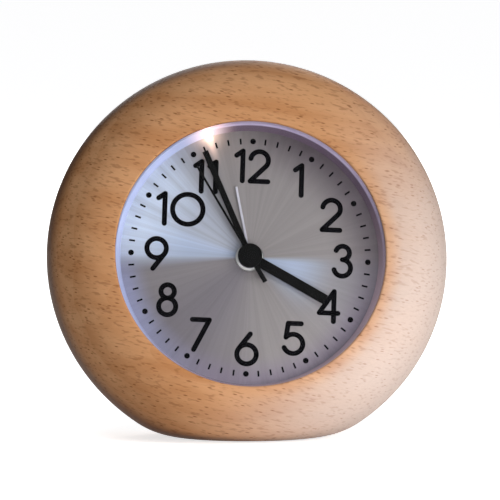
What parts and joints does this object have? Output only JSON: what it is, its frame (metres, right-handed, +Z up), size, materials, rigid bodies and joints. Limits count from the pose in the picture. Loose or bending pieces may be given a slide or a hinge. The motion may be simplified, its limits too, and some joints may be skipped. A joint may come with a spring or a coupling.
{
  "type": "wooden desk clock",
  "caption": "Round leaning desk alarm clock in a turned beech case with a flat base, a sunburst dial with upright numerals, hands, a night light and setting knobs behind.",
  "frame": {"origin": "on the flat base, straight below the centre of the widest circle of the case", "axes": "+Z up, -Y towards the person reading the dial, +X to the right of the dial"},
  "size_m": [0.095, 0.0548, 0.0887],
  "materials": {
    "beech": "oiled beech with a fine fleck",
    "lens": "clear lens",
    "dial_silver": "spun sunburst",
    "ring_silver": "gloss silver-white",
    "print_black": "printed ink",
    "hand_black": "satin black paint",
    "hand_silver": "bright",
    "cover_black": "fine moulded texture",
    "knob_black": "moulded",
    "button_grey": "moulded",
    "plate_white": "moulded",
    "gear_white": "moulded acetal",
    "steel": "plated",
    "magnet": "sintered",
    "copper": "enamelled wire",
    "board_green": "solder mask",
    "chip_black": "epoxy",
    "light": "clear epoxy",
    "cell": "plain wrap",
    "wire_red": "soft sleeve"
  },
  "bodies": {
    "case": {"wood_case": "beech", "lens": "lens", "dial_ring": "ring_silver", "dial": "dial_silver", "dial_numerals": "print_black", "dial_minute_track": "print_black", "movement_front": "plate_white", "movement_bridge": "plate_white", "movement_rear": "plate_white", "movement_screws": "steel", "bridge_screws": "steel", "stator": "steel", "coil_bobbin": "plate_white", "coil_winding": "copper", "back_cover": "cover_black", "back_cover_screws": "steel", "battery_cell": "cell", "battery_nub_contact": "steel", "battery_spring_contact": "steel", "snooze_switch": "chip_black", "alarm_switch_body": "steel", "circuit_board": "board_green", "board_screws": "steel", "quartz_crystal": "steel", "chip_cover": "chip_black", "buzzer": "chip_black", "night_light": "light", "night_light_leads": "steel", "battery_leads": "wire_red"},
    "second_train": {"second_hand": "hand_black", "hand_cap": "hand_black", "second_wheel": "gear_white"},
    "minute_train": {"minute_hand": "hand_black", "centre_wheel": "gear_white"},
    "hour_train": {"hour_hand": "hand_black", "hour_wheel": "gear_white"},
    "motion_wheel": {"minute_wheel": "gear_white"},
    "third_train": {"third_wheel": "gear_white"},
    "intermediate_train": {"intermediate_wheel": "gear_white"},
    "motor_rotor": {"rotor_pinion": "gear_white", "rotor_magnet": "magnet"},
    "time_setter": {"time_knob": "knob_black", "time_shaft": "gear_white"},
    "alarm_train": {"alarm_hand": "hand_silver", "alarm_wheel": "gear_white"},
    "alarm_setter": {"alarm_knob": "knob_black", "alarm_shaft": "gear_white"},
    "snooze": {"snooze_button": "button_grey"},
    "alarm_switch": {"alarm_switch_slider": "button_grey"},
    "door": {"battery_door": "cover_black"}
  },
  "joints": [
    {"name": "second_hand_turn", "type": "hinge", "parent": "case", "child": "second_train", "pos_m": [0, -0.01055, 0.04314], "axis": [0, 0.9613, -0.2756], "continuous": true},
    {"name": "minute_hand_turn", "type": "hinge", "parent": "case", "child": "minute_train", "pos_m": [0, -0.01055, 0.04314], "axis": [0, 0.9613, -0.2756], "continuous": true},
    {"name": "hour_hand_turn", "type": "hinge", "parent": "case", "child": "hour_train", "pos_m": [0, -0.01055, 0.04314], "axis": [0, 0.9613, -0.2756], "continuous": true},
    {"name": "motion_wheel_turn", "type": "hinge", "parent": "case", "child": "motion_wheel", "pos_m": [0.014, -0.01054, 0.04318], "axis": [0, 0.9613, -0.2756], "continuous": true},
    {"name": "third_wheel_turn", "type": "hinge", "parent": "case", "child": "third_train", "pos_m": [-0.00841, -0.01287, 0.03506], "axis": [0, 0.9613, -0.2756], "continuous": true},
    {"name": "intermediate_wheel_turn", "type": "hinge", "parent": "case", "child": "intermediate_train", "pos_m": [0.00636, -0.0123, 0.03703], "axis": [0, 0.9613, -0.2756], "continuous": true},
    {"name": "rotor_turn", "type": "hinge", "parent": "case", "child": "motor_rotor", "pos_m": [0.0128, -0.01408, 0.03084], "axis": [0, 0.9613, -0.2756], "continuous": true},
    {"name": "time_knob_turn", "type": "hinge", "parent": "case", "child": "time_setter", "pos_m": [0.013, -0.00669, 0.0566], "axis": [0, 0.9613, -0.2756], "continuous": true},
    {"name": "alarm_knob_turn", "type": "hinge", "parent": "case", "child": "alarm_setter", "pos_m": [-0.013, -0.00669, 0.0566], "axis": [0, 0.9613, -0.2756], "continuous": true},
    {"name": "alarm_hand_turn", "type": "hinge", "parent": "case", "child": "alarm_train", "pos_m": [0, -0.01055, 0.04314], "axis": [0, 0.9613, -0.2756], "continuous": true},
    {"name": "snooze_press", "type": "slide", "parent": "case", "child": "snooze", "axis": [0, -0.9613, 0.2756], "range_m": [0, 0.0008], "stiffness_N_per_m": 400},
    {"name": "alarm_switch_slide", "type": "slide", "parent": "case", "child": "alarm_switch", "axis": [1, 0, 0], "range_m": [0, 0.004]},
    {"name": "battery_door_lift", "type": "slide", "parent": "case", "child": "door", "axis": [0, 0.9613, -0.2756], "range_m": [0, 0.02]}
  ],
  "couplings": [
    {"joint": "hour_hand_turn", "follows": "minute_hand_turn", "ratio": 0.083333},
    {"joint": "motion_wheel_turn", "follows": "minute_hand_turn", "ratio": -0.33333},
    {"joint": "time_knob_turn", "follows": "minute_hand_turn", "ratio": 1},
    {"joint": "third_wheel_turn", "follows": "minute_hand_turn", "ratio": -8},
    {"joint": "second_hand_turn", "follows": "minute_hand_turn", "ratio": 60},
    {"joint": "intermediate_wheel_turn", "follows": "minute_hand_turn", "ratio": -300},
    {"joint": "rotor_turn", "follows": "minute_hand_turn", "ratio": 1800},
    {"joint": "alarm_hand_turn", "follows": "alarm_knob_turn", "ratio": -0.6}
  ]
}
